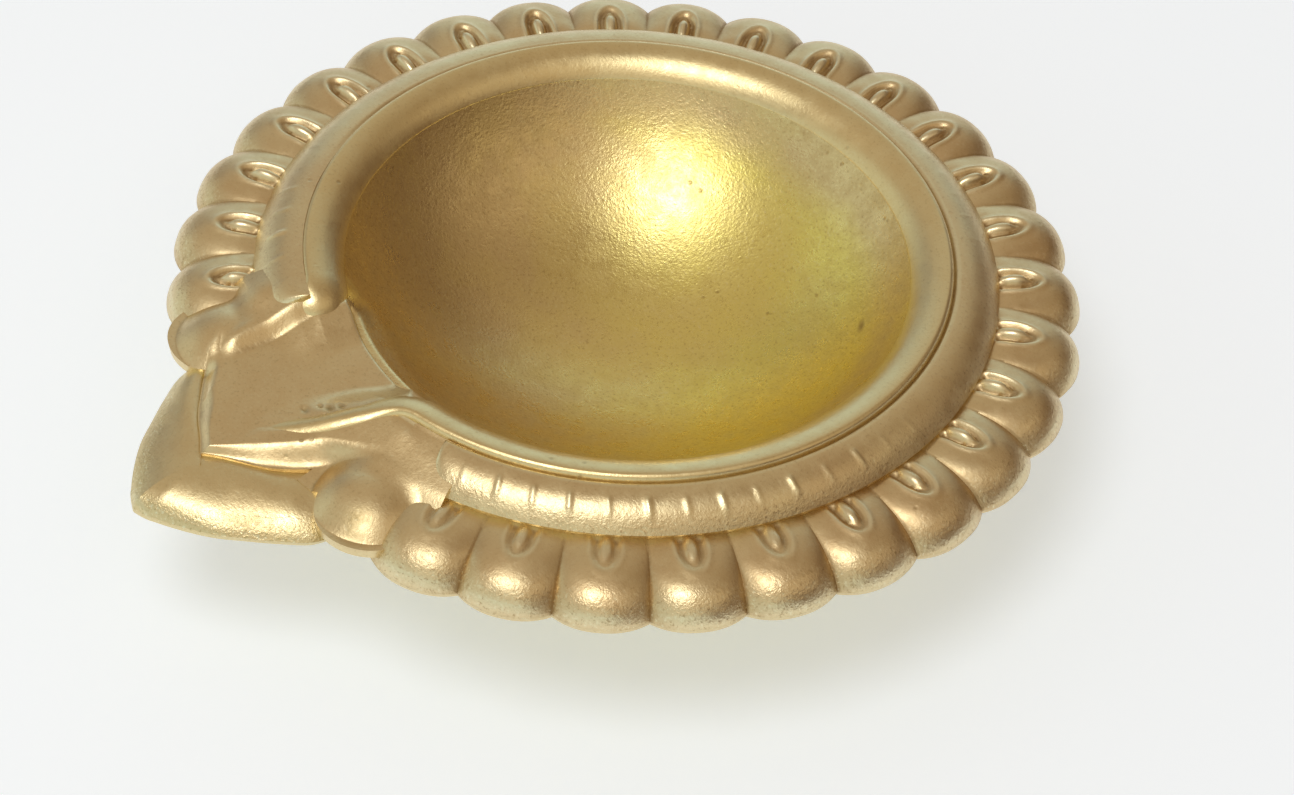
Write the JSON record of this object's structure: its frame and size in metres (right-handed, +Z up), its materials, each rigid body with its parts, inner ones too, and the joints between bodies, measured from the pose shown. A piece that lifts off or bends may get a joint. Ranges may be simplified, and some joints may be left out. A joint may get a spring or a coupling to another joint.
{
  "type": "diya oil lamp",
  "caption": "Small brass oil lamp: shallow bowl with a rounded lip, ribbed collar, border of rounded petals and a leaf-shaped wick spout, on a low foot.",
  "frame": {"origin": "centre of the flat underside of the foot, on the lamp's axis", "axes": "+Z up along the bowl's axis; -Y towards the spout's tip; +X to the right when the spout points at the viewer"},
  "size_m": [0.0794, 0.0881, 0.02],
  "materials": {
    "polished_brass": "turned and polished, fine speckle and faint stains",
    "cast_brass": "satin cast brass, softly buffed on the high places, darker in the grooves",
    "raw_brass": "as-cast grainy brass, brushed off, dull"
  },
  "bodies": {
    "root": {"oil_bowl": "polished_brass", "foot": "raw_brass", "collar_band": "cast_brass", "petal_border": "cast_brass", "spout_channel": "cast_brass", "spout_leaf": "cast_brass", "spout_shoulder_right": "cast_brass", "spout_shoulder_left": "cast_brass"}
  },
  "joints": []
}
